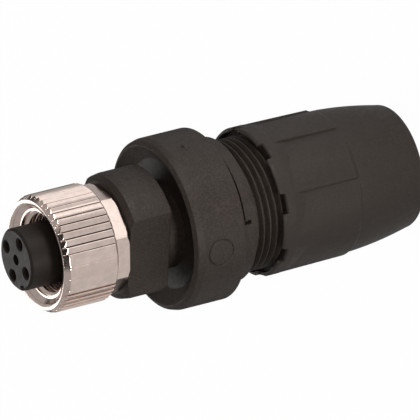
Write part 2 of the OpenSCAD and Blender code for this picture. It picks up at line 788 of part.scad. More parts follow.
// Outline of the nut's outside without its pads, from the rim to the cable end
function union_skin(steps = 8) = let (
    foot = 0.05,
    start_r = union_low_r - foot,
    rim_break = (union_d - union_rim_d) / 2,
    run = overall_len - union_end_round - pad_end_at,
    fall = start_r - union_end_d / 2,
    lean = atan(fall * (2 - union_crown_share) / run)
) concat(
    [
        at(0, rim_at), at(union_rim_d / 2, rim_at), at(union_d / 2, rim_at + 2 * rim_break),
        at(union_d / 2, pad_at), at(union_low_r, pad_at + union_band_run)
    ],
    [for (i = [0:steps]) let (x = i / steps)
        at(start_r - fall * (union_crown_share * x + (1 - union_crown_share) * x * x),
            pad_end_at + run * x)],
    arc_points(union_end_d / 2 - union_end_round, overall_len - union_end_round,
        union_end_round, -lean, -90),
    [at(0, overall_len)]
);

// Gland nut: castellated rim, saw-toothed pads, long crowned body, cable entry
module union_nut() {
    pad_run_in = 0.5;
    pad_run_out = 0.5;
    pad_trim = 0.03;
    pad_sink = 0.1;
    notch_lag = 2;  // degrees from a notch's far wall back to the pad's step
    mouth_run = 0.3;
    color("dimgray") difference() {
        union() {
            revolve(union_skin());
            intersection() {
                translate([0, 0, up(pad_end_at)]) linear_extrude(height = pad_len + pad_run_in)
                    pad_outline();
                revolve([
                    at(0, pad_at - pad_run_in), at(union_d / 2 - pad_trim, pad_at - pad_run_in),
                    at((union_d - pad_taper) / 2 - pad_trim, pad_end_at - pad_run_out),
                    at(union_low_r - pad_sink, pad_end_at), at(0, pad_end_at)
                ]);
            }
        }
        bar(2 * union_bore_r, rim_at - eps, bore_end_at);
        bar(union_mouth_d, rim_at - eps, rim_at + union_mouth_depth);
        taper(union_mouth_d, 2 * union_bore_r, rim_at + union_mouth_depth - eps,
            rim_at + union_mouth_depth + mouth_run);
        bar(union_cage_d, bore_end_at - eps, cone_at + eps);
        taper(union_cage_d, union_cone_d, cone_at, cone_end_at);
        bar(cable_entry_d, cone_end_at - eps, overall_len + eps);
        taper(cable_entry_d, cable_entry_d + 2 * cable_entry_flare,
            overall_len - cable_entry_flare, overall_len + eps);
        for (i = [0:notch_count - 1])
            ring_sector(union_low_r / 2, reach, rim_at - eps, rim_at + notch_depth,
                pad_angle + (i + 1) * notch_step - notch_sweep + notch_lag, notch_sweep);
    }
}

coupling_nut();
contact_insert();
face_ring();
front_sleeve();
spigot_ring();
housing();
socket(1);  // socket_1
socket(2);  // socket_2
socket(3);  // socket_3
socket(4);  // socket_4
wire_fork(1);  // wire_fork_1
wire_fork(2);  // wire_fork_2
wire_fork(3);  // wire_fork_3
wire_fork(4);  // wire_fork_4
fork_carrier();
wire_organiser();
cable_seal();
slip_washer();
clamp_cage();
union_nut();
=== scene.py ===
"""Looks of a straight female M12 cable connector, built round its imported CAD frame.

Lengths in the classes are millimetres. A station is a distance measured back from the mating
face along the connector, so that the height of a station s is LENGTH - s above the cable end.
Angles round the axis are degrees, counter-clockwise seen from the mating face, from +X.
"""

import json
import logging
import math
from dataclasses import dataclass, field
from enum import Enum

import bpy
import numpy as np
from mathutils import Matrix, Vector


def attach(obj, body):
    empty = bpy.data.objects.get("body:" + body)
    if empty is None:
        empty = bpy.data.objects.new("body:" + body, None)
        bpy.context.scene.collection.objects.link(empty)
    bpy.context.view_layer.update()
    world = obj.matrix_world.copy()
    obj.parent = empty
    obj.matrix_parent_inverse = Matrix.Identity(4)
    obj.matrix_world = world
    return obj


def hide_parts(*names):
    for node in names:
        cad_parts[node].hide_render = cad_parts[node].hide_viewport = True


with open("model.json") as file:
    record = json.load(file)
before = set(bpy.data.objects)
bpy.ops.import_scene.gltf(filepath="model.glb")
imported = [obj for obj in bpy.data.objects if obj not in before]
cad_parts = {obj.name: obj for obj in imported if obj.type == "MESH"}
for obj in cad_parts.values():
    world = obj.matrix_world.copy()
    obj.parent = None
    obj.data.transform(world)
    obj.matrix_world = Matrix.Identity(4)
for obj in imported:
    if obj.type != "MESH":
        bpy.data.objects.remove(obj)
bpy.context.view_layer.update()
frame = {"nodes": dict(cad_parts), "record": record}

MM = 0.001
LENGTH = 59.5
LOG = logging.getLogger("connector")
Array = np.ndarray


class Body(Enum):
    """The moving bodies of the frame that new pieces ride on."""

    HOUSING = "body"
    COUPLING = "coupling"
    GLAND_NUT = "gland_nut"


class Side(Enum):
    """Which side of a wall a thread's ridge stands on."""

    OUTSIDE = 1
    INSIDE = -1


# ---------------------------------------------------------------- surfaces


def ease(x: Array, low: float, high: float) -> Array:
    """Smooth step: 0 below low, 1 above high, and 3t^2 - 2t^3 between them.

    Args:
        x: Values to map.
        low: Where the step starts.
        high: Where the step ends.

    Returns:
        The mapped values, from 0 to 1.
    """
    t = np.clip((x - low) / (high - low), 0.0, 1.0)
    return t * t * (3.0 - 2.0 * t)


def soft_min(a: Array, b: Array, blend: float) -> Array:
    """Smaller of two fields with a rounded joint: the polynomial minimum of width blend.

    Args:
        a: First field.
        b: Second field.
        blend: Difference of the fields under which their joint is rounded.

    Returns:
        The field below both.
    """
    h = np.clip(0.5 + 0.5 * (b - a) / blend, 0.0, 1.0)
    return b * (1.0 - h) + a * h - blend * h * (1.0 - h)


def soft_max(a: Array, b: Array, blend: float) -> Array:
    """Larger of two fields with a filleted joint; see soft_min."""
    return -soft_min(-a, -b, blend)


def round_over(depth: Array, radius: float) -> Array:
    """How far a quarter-round edge falls back from its face at a depth behind the end.

    The profile is a circle: radius - sqrt(radius^2 - (radius - depth)^2).

    Args:
        depth: Distances behind the end face.
        radius: Radius of the edge.

    Returns:
        The drop at each depth, 0 past the radius.
    """
    left = np.clip(radius - depth, 0.0, radius)
    return radius - np.sqrt(radius * radius - left * left)


def bevelled(s: Array, points: list[tuple[float, float]], blend: float = 0.12) -> Array:
    """Radius along a line through (station, radius) points, with its corners rounded.

    The straight interpolation is averaged over a window of the blend's width.

    Args:
        s: Stations.
        points: The line's corners in the order of their stations.
        blend: Width of the window.

    Returns:
        The radius at each station.
    """
    at, radius = np.array(points, float).T
    shifts = np.linspace(-0.5, 0.5, 5) * blend
    return np.mean([np.interp(s + shift, at, radius) for shift in shifts], axis=0)


def near(centre: float, half: float, count: int) -> Array:
    """Evenly spaced samples from centre - half to centre + half."""
    return np.linspace(centre - half, centre + half, count)


def circle_samples(count: int, *extra: Array) -> Array:
    """Angles of a full turn: count even ones with extra ones, sorted, each once.

    Args:
        count: Number of even samples.
        extra: Further angles in degrees, in any turn.

    Returns:
        Sorted angles from -180 up to 180.
    """
    even = np.arange(count) * 360.0 / count
    every = np.concatenate([even, *extra])
    every = np.round((every + 180.0) % 360.0 - 180.0, 3)
    return np.unique(every)


def stations(*groups: Array) -> Array:
    """All groups of stations as one sorted column, each once."""
    return np.unique(np.concatenate(groups))[:, None]


def turned(radius: Array, degrees: Array, station: Array) -> Array:
    """Points (r cos a, r sin a, LENGTH - s) as (n, 3) positions in metres."""
    turn = np.radians(degrees)
    points = np.stack([radius * np.cos(turn), radius * np.sin(turn), LENGTH - station], axis=-1)
    return points.reshape(-1, 3) * MM


def make_mesh(name: str, points: Array, quads: Array, sharp: float = 32.0) -> bpy.types.Object:
    """Puts points in metres and quads into a new object, smooth but for edges over an angle.

    Args:
        name: Name of the object and its mesh.
        points: (n, 3) positions in metres.
        quads: (m, 4) corner indices, wound so that faces point outwards.
        sharp: Angle in degrees above which an edge stays sharp.

    Returns:
        The new object, linked to the scene.
    """
    mesh = bpy.data.meshes.new(name)
    mesh.vertices.add(len(points))
    mesh.vertices.foreach_set("co", np.ascontiguousarray(points, np.float32).ravel())
    mesh.loops.add(quads.size)
    mesh.loops.foreach_set("vertex_index", quads.astype(np.int32).ravel())
    mesh.polygons.add(len(quads))
    mesh.polygons.foreach_set("loop_start", np.arange(len(quads), dtype=np.int32) * 4)
    mesh.polygons.foreach_set("use_smooth", np.ones(len(quads), bool))
    mesh.update(calc_edges=True)
    mesh.validate()
    mesh.set_sharp_from_angle(angle=math.radians(sharp))
    piece = bpy.data.objects.new(name, mesh)
    bpy.context.scene.collection.objects.link(piece)
    LOG.info("%s: %d quads", name, len(quads))
    return piece


def sheet_mesh(name: str, corners: Array) -> bpy.types.Object:
    """One quad through four corners in metres."""
    return make_mesh(name, corners, np.array([[0, 1, 2, 3]]))


def wall_of_turn(name: str, angles: Array, *bands: tuple[Array, Array]) -> bpy.types.Object:
    """Closed wall wound round the axis.

    Radius and station run along a closed outline, out over the skin from front to rear and back
    through the bore, and the angle runs round the turn.

    Args:
        name: Name of the piece.
        angles: (n) angles in degrees.
        bands: Stretches of the outline: radii and stations, (m, n) or (m, 1) each.

    Returns:
        The new object.
    """
    radius, station = (
        np.vstack([np.broadcast_to(band[k], (len(band[k]), len(angles))) for band in bands])
        for k in (0, 1)
    )
    index = np.arange(radius.size).reshape(radius.shape)
    down, across = np.roll(index, -1, 0), np.roll(index, -1, 1)
    quads = np.stack([index, down, np.roll(down, -1, 1), across], axis=-1).reshape(-1, 4)
    return make_mesh(name, turned(radius, angles[None, :], station), quads)


def outline(*points: tuple[float, float]) -> tuple[Array, Array]:
    """Columns of radii and stations from (radius, station) pairs in the outline's order.

    A pair whose station is a plain number only splits a long straight face.
    """
    pairs = np.array(points, float)
    return pairs[:, :1], pairs[:, 1:]


@dataclass
class Thread:
    """Right-hand 60 degree thread as one ridge on a wall.

    The ridge's crest lies at station phase - (a + 90) / 360 * pitch, so that it gains one pitch
    of height with each turn counter-clockwise seen from the mating face.
    """

    name: str
    wall_r: float
    depth: float
    pitch: float
    first: float
    last: float
    phase: float
    side: Side
    crest: float = 0.125
    root_sink: float = 0.04
    per_turn: int = 108
    run_out: float = 0.35

    def build(self) -> bpy.types.Object:
        """Carries a trapezoid along the helix and closes both ends.

        Returns:
            The ridge as one closed piece.
        """
        turns = (self.last - self.first) / self.pitch
        count = int(turns * self.per_turn)
        a = np.linspace(0.0, turns * 360.0, count)
        start = (self.phase - self.first) % self.pitch
        middle = self.first + a / 360.0 * self.pitch
        angle = -90.0 - (a - start / self.pitch * 360.0)
        grow = ease(a, 0.0, 360.0 * self.run_out) * ease(a[-1] - a, 0.0, 360.0 * self.run_out)
        grow = np.maximum(grow, 0.02)
        flank = math.tan(math.radians(30.0))
        half_crest = self.crest * self.pitch / 2.0
        half_foot = half_crest + self.depth * flank
        rise = np.array([-self.root_sink, 0.0, 1.0, 1.0, 0.0, -self.root_sink])
        across = np.array([-half_foot, -half_foot, -half_crest, half_crest, half_foot, half_foot])
        height = np.where(rise > 0, rise * self.depth, rise)
        lift = np.where(height > 0, height[None, :] * grow[:, None], height[None, :])
        radius = self.wall_r + self.side.value * lift
        station = middle[:, None] + across[None, :] * (0.25 + 0.75 * grow[:, None])
        index = np.arange(radius.size).reshape(radius.shape)
        here, there = index[:-1], index[1:]
        quads = np.stack(
            [here, np.roll(here, -1, 1), np.roll(there, -1, 1), there], axis=-1
        ).reshape(-1, 4)
        ends = np.array([[0, 1, 4, 5], [1, 2, 3, 4]])
        quads = np.concatenate([quads, index[0, ends[:, [0, 3, 2, 1]]], index[-1, ends]])
        if self.side is Side.OUTSIDE:
            quads = quads[:, ::-1]
        return make_mesh(self.name, turned(radius, angle[:, None], station), quads, sharp=40.0)


# ---------------------------------------------------------------- shading


class Wire:
    """A shader value socket on which Python's operators add Math nodes."""

    def __init__(self, bench: "Bench", socket: bpy.types.NodeSocket) -> None:
        """Keeps the bench that holds the nodes, and the socket."""
        self.bench = bench
        self.socket = socket

    def _maths(self, operation: str, a: "Wire | float", b: "Wire | float" = 0.0) -> "Wire":
        """Adds one Math node of this operation on two values."""
        return self.bench.node("ShaderNodeMath", {"operation": operation}, {0: a, 1: b})

    def __add__(self, other: "Wire | float") -> "Wire":
        """self + other"""
        return self._maths("ADD", self, other)

    __radd__ = __add__

    def __sub__(self, other: "Wire | float") -> "Wire":
        """self - other"""
        return self._maths("SUBTRACT", self, other)

    def __rsub__(self, other: "Wire | float") -> "Wire":
        """other - self"""
        return self._maths("SUBTRACT", other, self)

    def __mul__(self, other: "Wire | float") -> "Wire":
        """self * other"""
        return self._maths("MULTIPLY", self, other)

    __rmul__ = __mul__

    def root(self) -> "Wire":
        """Square root."""
        return self._maths("SQRT", self)

    def between(self, low: float, high: float) -> "Wire":
        """Smooth mask, 0 at low and 1 at high, or the other way round where low is above high.

        Args:
            low: Value that gives 0.
            high: Value that gives 1.

        Returns:
            The mask.
        """
        a, b, out = (low, high, (0.0, 1.0)) if low < high else (high, low, (1.0, 0.0))
        return self.bench.node(
            "ShaderNodeMapRange",
            {"interpolation_type": "SMOOTHSTEP"},
            {"Value": self, "From Min": a, "From Max": b, "To Min": out[0], "To Max": out[1]},
        )


class Bench:
    """Node tree of one material or world, with one method that adds any node."""

    def __init__(self, owner: bpy.types.Material | bpy.types.World) -> None:
        """Clears the owner's tree and gives it an output."""
        self.owner = owner
        owner.use_nodes = True
        self.tree = owner.node_tree
        self.tree.nodes.clear()
        kind = "World" if isinstance(owner, bpy.types.World) else "Material"
        self.out = self.tree.nodes.new(f"ShaderNodeOutput{kind}")

    @classmethod
    def material(cls, name: str) -> "Bench":
        """Bench of a new material."""
        return cls(bpy.data.materials.new(name))

    def show(self, shader: Wire) -> None:
        """Joins a shader to the output's surface."""
        self.tree.links.new(shader.socket, self.out.inputs["Surface"])

    def node(
        self,
        kind: str,
        settings: dict[str, object] | None = None,
        values: dict[str | int, object] | None = None,
        output: str | int = 0,
    ) -> Wire:
        """Adds a node, sets its settings, then its sockets' values or links.

        Args:
            kind: Node type.
            settings: Properties of the node.
            values: Sockets by name or number, with a number, a colour or a Wire.
            output: Output socket to return.

        Returns:
            The output as a Wire.
        """
        made = self.tree.nodes.new(kind)
        for key, value in (settings or {}).items():
            setattr(made, key, value)
        for key, value in (values or {}).items():
            socket = made.inputs[key]
            if isinstance(value, Wire):
                self.tree.links.new(value.socket, socket)
            else:
                socket.default_value = value
        return Wire(self, made.outputs[output])

    def place(self, scale: float = 1.0, stretch: tuple[float, float, float] = (1, 1, 1)) -> Wire:
        """Object coordinates in millimetres times a scale, stretched along the axes.

        Args:
            scale: Pattern repeats per millimetre.
            stretch: Further factor along each axis.

        Returns:
            The vector.
        """
        spot = self.node("ShaderNodeTexCoord", output="Object")
        factors = tuple(scale * s / MM for s in stretch)
        return self.node("ShaderNodeMapping", values={"Vector": spot, "Scale": factors})

    def grain(
        self, per_mm: float, detail: float = 2.0, stretch: tuple[float, float, float] = (1, 1, 1)
    ) -> Wire:
        """Noise of a given number of grains to the millimetre.

        Args:
            per_mm: Grains to the millimetre.
            detail: Octaves.
            stretch: Factor along each axis.

        Returns:
            Noise from 0 to 1.
        """
        place = self.place(per_mm, stretch)
        values = {"Vector": place, "Scale": 1.0, "Detail": detail, "Roughness": 0.5}
        return self.node("ShaderNodeTexNoise", values=values)

    def ray(self, kind: str) -> Wire:
        """1 for light rays of one kind, such as Camera or Glossy."""
        return self.node("ShaderNodeLightPath", output=f"Is {kind} Ray")

    def along(self, axis: int) -> Wire:
        """Object coordinate along one axis (0, 1 or 2) in millimetres."""
        return self.node("ShaderNodeSeparateXYZ", values={0: self.place()}, output=axis)

    def axis_radius(self) -> Wire:
        """Distance from the connector's axis in millimetres: sqrt(x^2 + y^2)."""
        x, y = self.along(0), self.along(1)
        return (x * x + y * y).root()

    def station(self) -> Wire:
        """Distance back from the mating face in millimetres."""
        return LENGTH - self.along(2)

    def tint(self, mask: Wire, low: tuple, high: tuple) -> Wire:
        """Colour that goes from low to high with a mask."""
        return self.node(
            "ShaderNodeMix",
            {"data_type": "RGBA"},
            {0: mask, 6: (*low, 1.0), 7: (*high, 1.0)},
            output=2,
        )

    def bump(self, height: Wire, depth_mm: float) -> Wire:
        """Normal of a height field of a given depth."""
        values = {"Strength": 1.0, "Distance": depth_mm * MM, "Height": height}
        return self.node("ShaderNodeBump", values=values)

    def finish(self, values: dict[str, object]) -> bpy.types.Material:
        """Adds the shader and joins it to the output.

        Args:
            values: Sockets of the Principled shader.

        Returns:
            The material.
        """
        self.show(self.node("ShaderNodeBsdfPrincipled", values=values))
        return self.owner


@dataclass(frozen=True)
class Plastic:
    """Moulded plastic: spark-eroded grain, faint flow marks and a soft polish on high spots."""

    name: str
    dark: tuple[float, float, float]
    light: tuple[float, float, float]
    rough: float = 0.56
    gloss: float = 0.22
    grain_per_mm: float = 5.5
    grain_depth: float = 0.02

    def make(self) -> bpy.types.Material:
        """Builds the material.

        Returns:
            The material.
        """
        bench = Bench.material(self.name)
        fine = bench.grain(self.grain_per_mm, 2.0)
        specks = bench.grain(self.grain_per_mm * 0.75, 2.0)
        flow = bench.grain(0.35, 3.0, (1.0, 1.0, 0.45))
        shine = bench.grain(1.6, 2.0)
        mix = specks.between(0.39, 0.65) * 0.8 + flow.between(0.3, 0.7) * 0.2
        return bench.finish(
            {
                "Base Color": bench.tint(mix, self.dark, self.light),
                "Roughness": shine.between(0.25, 0.75) * 0.10 + fine * 0.08 + (self.rough - 0.09),
                "Normal": bench.bump(fine + shine * 0.35, self.grain_depth),
                "Specular IOR Level": self.gloss,
            }
        )


@dataclass(frozen=True)
class Nickel:
    """Nickel plate: warm and bright on the crests, rougher down in the grooves, where painted shade
    turns the colour near-black.
    """

    name: str = "nickel_plate"
    bright: tuple[float, float, float] = (0.86, 0.71, 0.64)
    # dull: near-black colour of the painted shade between the grip's ribs.
    dark_end: tuple[float, float, float] = (0.06, 0.046, 0.040)
    groove_r: float = 7.83
    crest_r: float = 7.99
    grip_from: float = 4.0
    grip_to: float = 11.35

    def make(self) -> bpy.types.Material:
        """Builds the material.

        Returns:
            The material.
        """
        bench = Bench.material(self.name)
        cloud = bench.grain(0.9, 3.0)
        lines = bench.grain(5.0, 2.0, (1.0, 1.0, 0.12))
        pits = bench.grain(9.0, 2.0)
        station = bench.station()
        grip = station.between(self.grip_from - 0.2, self.grip_from)
        grip = grip * station.between(self.grip_to + 0.1, self.grip_to)
        radius = bench.axis_radius()
        grip = grip * radius.between(self.groove_r - 0.5, self.groove_r - 0.3)
        # groove: mask of painted shade in the grip's grooves, from the crest radius down to the groove
        # radius.
        groove = grip * radius.between(self.crest_r, self.groove_r)
        # clean: random cloud tone, taken down to the dark end where the groove mask paints shade.
        unshaded_tone = (1.0 - groove) * (cloud.between(0.25, 0.75) * 0.12 + 0.88)
        return bench.finish(
            {
                "Base Color": bench.tint(unshaded_tone, self.dark_end, self.bright),
                "Metallic": 1.0,
                "Roughness": groove * 0.1 + cloud * 0.05 + pits * 0.04 + 0.13,
                "Normal": bench.bump(lines + pits * 0.5, 0.005),
            }
        )


@dataclass(frozen=True)
class Rubber:
    """Sealing rubber: matt, faintly dusty."""

    name: str = "seal_rubber"

    def make(self) -> bpy.types.Material:
        """Builds the material."""
        bench = Bench.material(self.name)
        dust = bench.grain(2.5, 3.0)
        return bench.finish(
            {
                "Base Color": bench.tint(dust.between(0.4, 0.8), (0.012,) * 3, (0.03,) * 3),
                "Roughness": dust * 0.15 + 0.62,
                "Normal": bench.bump(bench.grain(6.0), 0.01),
            }
        )


@dataclass(frozen=True)
class Plate:
    """Thin metal plate on a turned or stamped contact."""

    name: str
    bright: tuple[float, float, float]
    dark_end: tuple[float, float, float]
    rough: float

    def make(self) -> bpy.types.Material:
        """Builds the material."""
        bench = Bench.material(self.name)
        cloud = bench.grain(1.5, 3.0)
        return bench.finish(
            {
                "Base Color": bench.tint(cloud.between(0.2, 0.7), self.dark_end, self.bright),
                "Metallic": 1.0,
                "Roughness": cloud * 0.12 + self.rough,
                "Normal": bench.bump(bench.grain(6.0, 2.0, (1, 1, 0.15)), 0.004),
            }
        )


def dress(piece: bpy.types.Object, material: bpy.types.Material) -> None:
    """Gives every slot of a piece this material."""
    if not piece.material_slots:
        piece.data.materials.append(material)
    for slot in piece.material_slots:
        slot.material = material


# ---------------------------------------------------------------- pieces


@dataclass
class CouplingNut:
    """Knurled nut: ribs with chamfered ends, bare marking panel, octagon, threaded mouth."""

    front: float = 3.1
    grip: float = 8.4
    octagon: float = 2.15
    tip_r: float = 8.2
    root_r: float = 7.8
    ribs: int = 48
    tip_at: float = 0.77
    rib_lean: float = 0.7
    rib_bevel: float = 2.4
    panel_ribs: int = 5
    panel_facets: int = 3
    panel_angle: float = -116.5
    facet_step: float = 0.09
    ring_r: float = 7.70
    chamfer: float = 0.86
    octagon_af: float = 14.2
    octagon_angle: float = -4.7
    octagon_crown: float = 0.03
    octagon_limit: float = 7.72
    thread_r: float = 6.0
    mouth_r: float = 6.85
    mouth_depth: float = 0.9
    bore_r: float = 5.13
    lip_at: float = 10.62
    lip_break: float = 0.3
    edge: float = 0.07

    @property
    def pitch(self) -> float:
        """Angle from rib to rib."""
        return 360.0 / self.ribs

    @property
    def start(self) -> float:
        """Angle at which the panel ends and the ribs start."""
        return self.panel_angle + self.panel_ribs * self.pitch / 2

    @property
    def facet(self) -> float:
        """Angle of one of the panel's facets."""
        return self.panel_ribs * self.pitch / self.panel_facets

    @property
    def grip_end(self) -> float:
        """Station of the grip's rear end."""
        return self.front + self.grip

    @property
    def rear(self) -> float:
        """Station of the nut's rear face."""
        return self.grip_end + self.octagon

    def angles(self) -> Array:
        """Samples at each rib's corners and round them."""
        part = np.array(
            [0, 0.025, 0.05, 0.07, 0.09, 0.4, 0.7, 0.74]
            + [0.76, 0.78, 0.8, 0.86, 0.89, 0.91, 0.925, 0.95]
        )
        ribs = np.arange(self.ribs - self.panel_ribs)[:, None] + part
        ribs = self.start + ribs * self.pitch
        share = [0, 0.01, 0.03, 0.25, 0.5, 0.75, 0.93, 0.94, 0.95, 0.96, 0.97, 0.98, 0.99]
        back = self.panel_facets - np.arange(self.panel_facets)
        panel = self.start - back[:, None] * self.facet + self.facet * np.array(share)
        return circle_samples(8, ribs.ravel(), panel.ravel())

    def knurl(self, angle: Array) -> Array:
        """Radius of the grip: saw-tooth ribs, and flats tip_r cos(h) / cos(a) on the panel.

        A rib rises evenly from its low side to the tip, falls by a bevel and then steeply.
        """
        turn = (angle - self.start) % 360.0
        part = (turn / self.pitch) % 1.0
        lean = 1.0 - self.rib_lean * (self.tip_at - part)
        bevel = 1.0 - self.rib_bevel * (part - self.tip_at)
        shape = soft_min(soft_min((part - 0.025) / 0.09, lean, 0.05), bevel, 0.05)
        shape = soft_max(soft_min(shape, (0.925 - part) / 0.04, 0.03), np.zeros_like(part), 0.02)
        ribbed = self.root_r + (self.tip_r - self.root_r) * shape
        panel_from, half = (self.ribs - self.panel_ribs) * self.pitch, self.facet / 2
        into = (turn - panel_from) % self.facet - half
        flat = self.tip_r * math.cos(math.radians(half)) / np.cos(np.radians(into))
        flat = flat - self.facet_step * ease(into, half - 1.0, half - 0.05)
        return np.where(turn < panel_from, ribbed, flat)

    def octagon_radius(self, angle: Array) -> Array:
        """Octagon: half its width over cos of the angle from a flat's middle, slightly ridged."""
        turn = (angle - self.octagon_angle) % 45.0 - 22.5
        crown = self.octagon_crown * (1.0 - np.abs(turn) / 22.5)
        return self.octagon_af / 2 / np.cos(np.radians(turn)) + crown

    def skin(self, angle: Array) -> tuple[Array, Array]:
        """Outside from the front edge to the rear edge.

        Args:
            angle: (n) angles.

        Returns:
            Radii and stations, (m, n) each.
        """
        front, grip_end, rear = self.front, self.grip_end, self.rear
        s = stations(
            front + np.array([0, 0.01, 0.03, 0.05, 0.07, 0.1]),
            front + np.linspace(0.14, self.chamfer + 0.08, 22),
            np.linspace(front + 1.3, grip_end - 0.7, 8),
            grip_end - np.array([0.5, 0.42, 0.34, 0.24, 0.14, 0.06, 0.02, 0.0]),
            grip_end + np.array([0.03, 0.06, 0.1, 0.16, 0.4]),
            rear - np.array([0.4, 0.3, 0.22, 0.15, 0.1, 0.05, 0.02, 0.0]),
        )
        rise = np.interp(
            s,
            [front, front + self.edge, front + self.chamfer, grip_end - 0.35, grip_end],
            [self.ring_r, self.ring_r, self.tip_r, self.tip_r, self.root_r + 0.03],
        )
        ribs = soft_min(rise, self.knurl(angle)[None, :], 0.02)
        grip = ribs - round_over(s - front, self.edge)
        eight = self.octagon_radius(angle)[None, :] + 0.0 * s
        bevel = self.octagon_limit - 0.9 * np.clip(s - (rear - 0.35), 0, 1)
        eight = soft_min(eight, bevel, 0.08)
        step = ease(s, grip_end, grip_end + 0.06)
        radius = grip * (1.0 - step) + eight * step
        return radius, s

    def build(self) -> bpy.types.Object:
        """Joins the skin and the bore into one closed wall.

        Returns:
            The nut.
        """
        angle = self.angles()
        bore = outline(
            (self.bore_r + self.lip_break, self.rear), (self.bore_r, self.rear - self.lip_break),
            (self.bore_r, self.lip_at), (self.thread_r - 0.1, self.lip_at),
            (self.thread_r, self.lip_at - 0.1), (self.thread_r, 7.0),
            (self.thread_r, self.front + self.mouth_depth),
            (self.thread_r + 0.25, self.front + self.mouth_depth - 0.02),
            (self.mouth_r - 0.04, self.front + 0.33), (self.mouth_r, self.front + 0.29),
            (self.mouth_r, self.front + 0.22), (self.mouth_r + 0.03, self.front + 0.19),
            (self.ring_r - self.edge - 0.02, self.front),
        )
        return wall_of_turn("coupling_nut_skin", angle, self.skin(angle), bore)

    def thread(self) -> bpy.types.Object:
        """Inner thread, one millimetre to the turn."""
        return Thread(
            "coupling_thread", self.thread_r, 0.52, 1.0, self.front + 1.0, self.lip_at - 0.65,
            self.front + 1.2, Side.INSIDE, crest=0.2, run_out=0.12,
        ).build()


@dataclass
class FrontSleeve:
    """Neck with a rounded front and two flats, journal for the nut, grooved spigot behind."""

    bore_r: float = 4.23
    journal_r: float = 5.05
    journal_at: float = 10.5
    neck_at: float = 13.89
    neck_end: float = 20.29
    neck_r: float = 8.775
    lead_h: float = 0.95
    lead_len: float = 1.5
    flat_half: float = 6.5
    flat_angle: float = -124.5
    spigot_r: float = 6.1
    spigot_end: float = 23.99
    groove_r: float = 5.23
    groove_at: float = 22.94
    groove_w: float = 0.96

    def front_line(self) -> list[tuple[float, float]]:
        """Softened chamfer of the neck's front edge, as (station, radius) points."""
        return [
            (self.neck_at, self.neck_r - self.lead_h),
            (self.neck_at + 0.35 * self.lead_len, self.neck_r - 0.16 * self.lead_h),
            (self.neck_at + self.lead_len, self.neck_r),
        ]

    def build(self) -> bpy.types.Object:
        """Closed wall: skin with the neck's flats at half / cos, then the bore.

        Returns:
            The sleeve.
        """
        corner = math.degrees(math.acos(self.flat_half / self.neck_r))
        extra = [
            near(self.flat_angle + side + sign * corner, 3.0, 13)
            for side in (0.0, 180.0)
            for sign in (-1, 1)
        ]
        angle = circle_samples(180, *extra)
        s = stations(
            self.neck_at + np.array([0, 0.015, 0.03, 0.06, 0.1, 0.16]),
            np.linspace(self.neck_at + 0.22, self.neck_at + self.lead_len + 0.2, 34),
            np.linspace(self.neck_at + 2.4, self.neck_end - 0.3, 5),
            self.neck_end - np.array([0.2, 0.12, 0.06, 0.02, 0.0]),
        )
        turn = np.radians(angle - self.flat_angle)[None, :]
        flat = self.flat_half / np.maximum(np.abs(np.cos(turn)), 0.2)
        full = bevelled(s, self.front_line(), 0.04) - round_over(s - self.neck_at, 0.04)
        neck = soft_min(full + 0 * flat, flat - round_over(s - self.neck_at, 0.14), 0.08)
        neck = neck - round_over(self.neck_end - s, 0.2)
        groove_end = self.groove_at + self.groove_w
        head = outline(
            (self.bore_r, self.journal_at), (self.journal_r - 0.15, self.journal_at),
            (self.journal_r, self.journal_at + 0.15), (self.journal_r, 13.5),
            (self.journal_r, self.neck_at),
        )
        tail = outline(
            (self.spigot_r, self.neck_end), (self.spigot_r, self.groove_at),
            (self.groove_r, self.groove_at), (self.groove_r, groove_end),
            (self.spigot_r, groove_end), (self.spigot_r, self.spigot_end),
            (self.bore_r, self.spigot_end), (self.bore_r, 17.0),
        )
        return wall_of_turn("front_sleeve_skin", angle, head, (neck, s), tail)


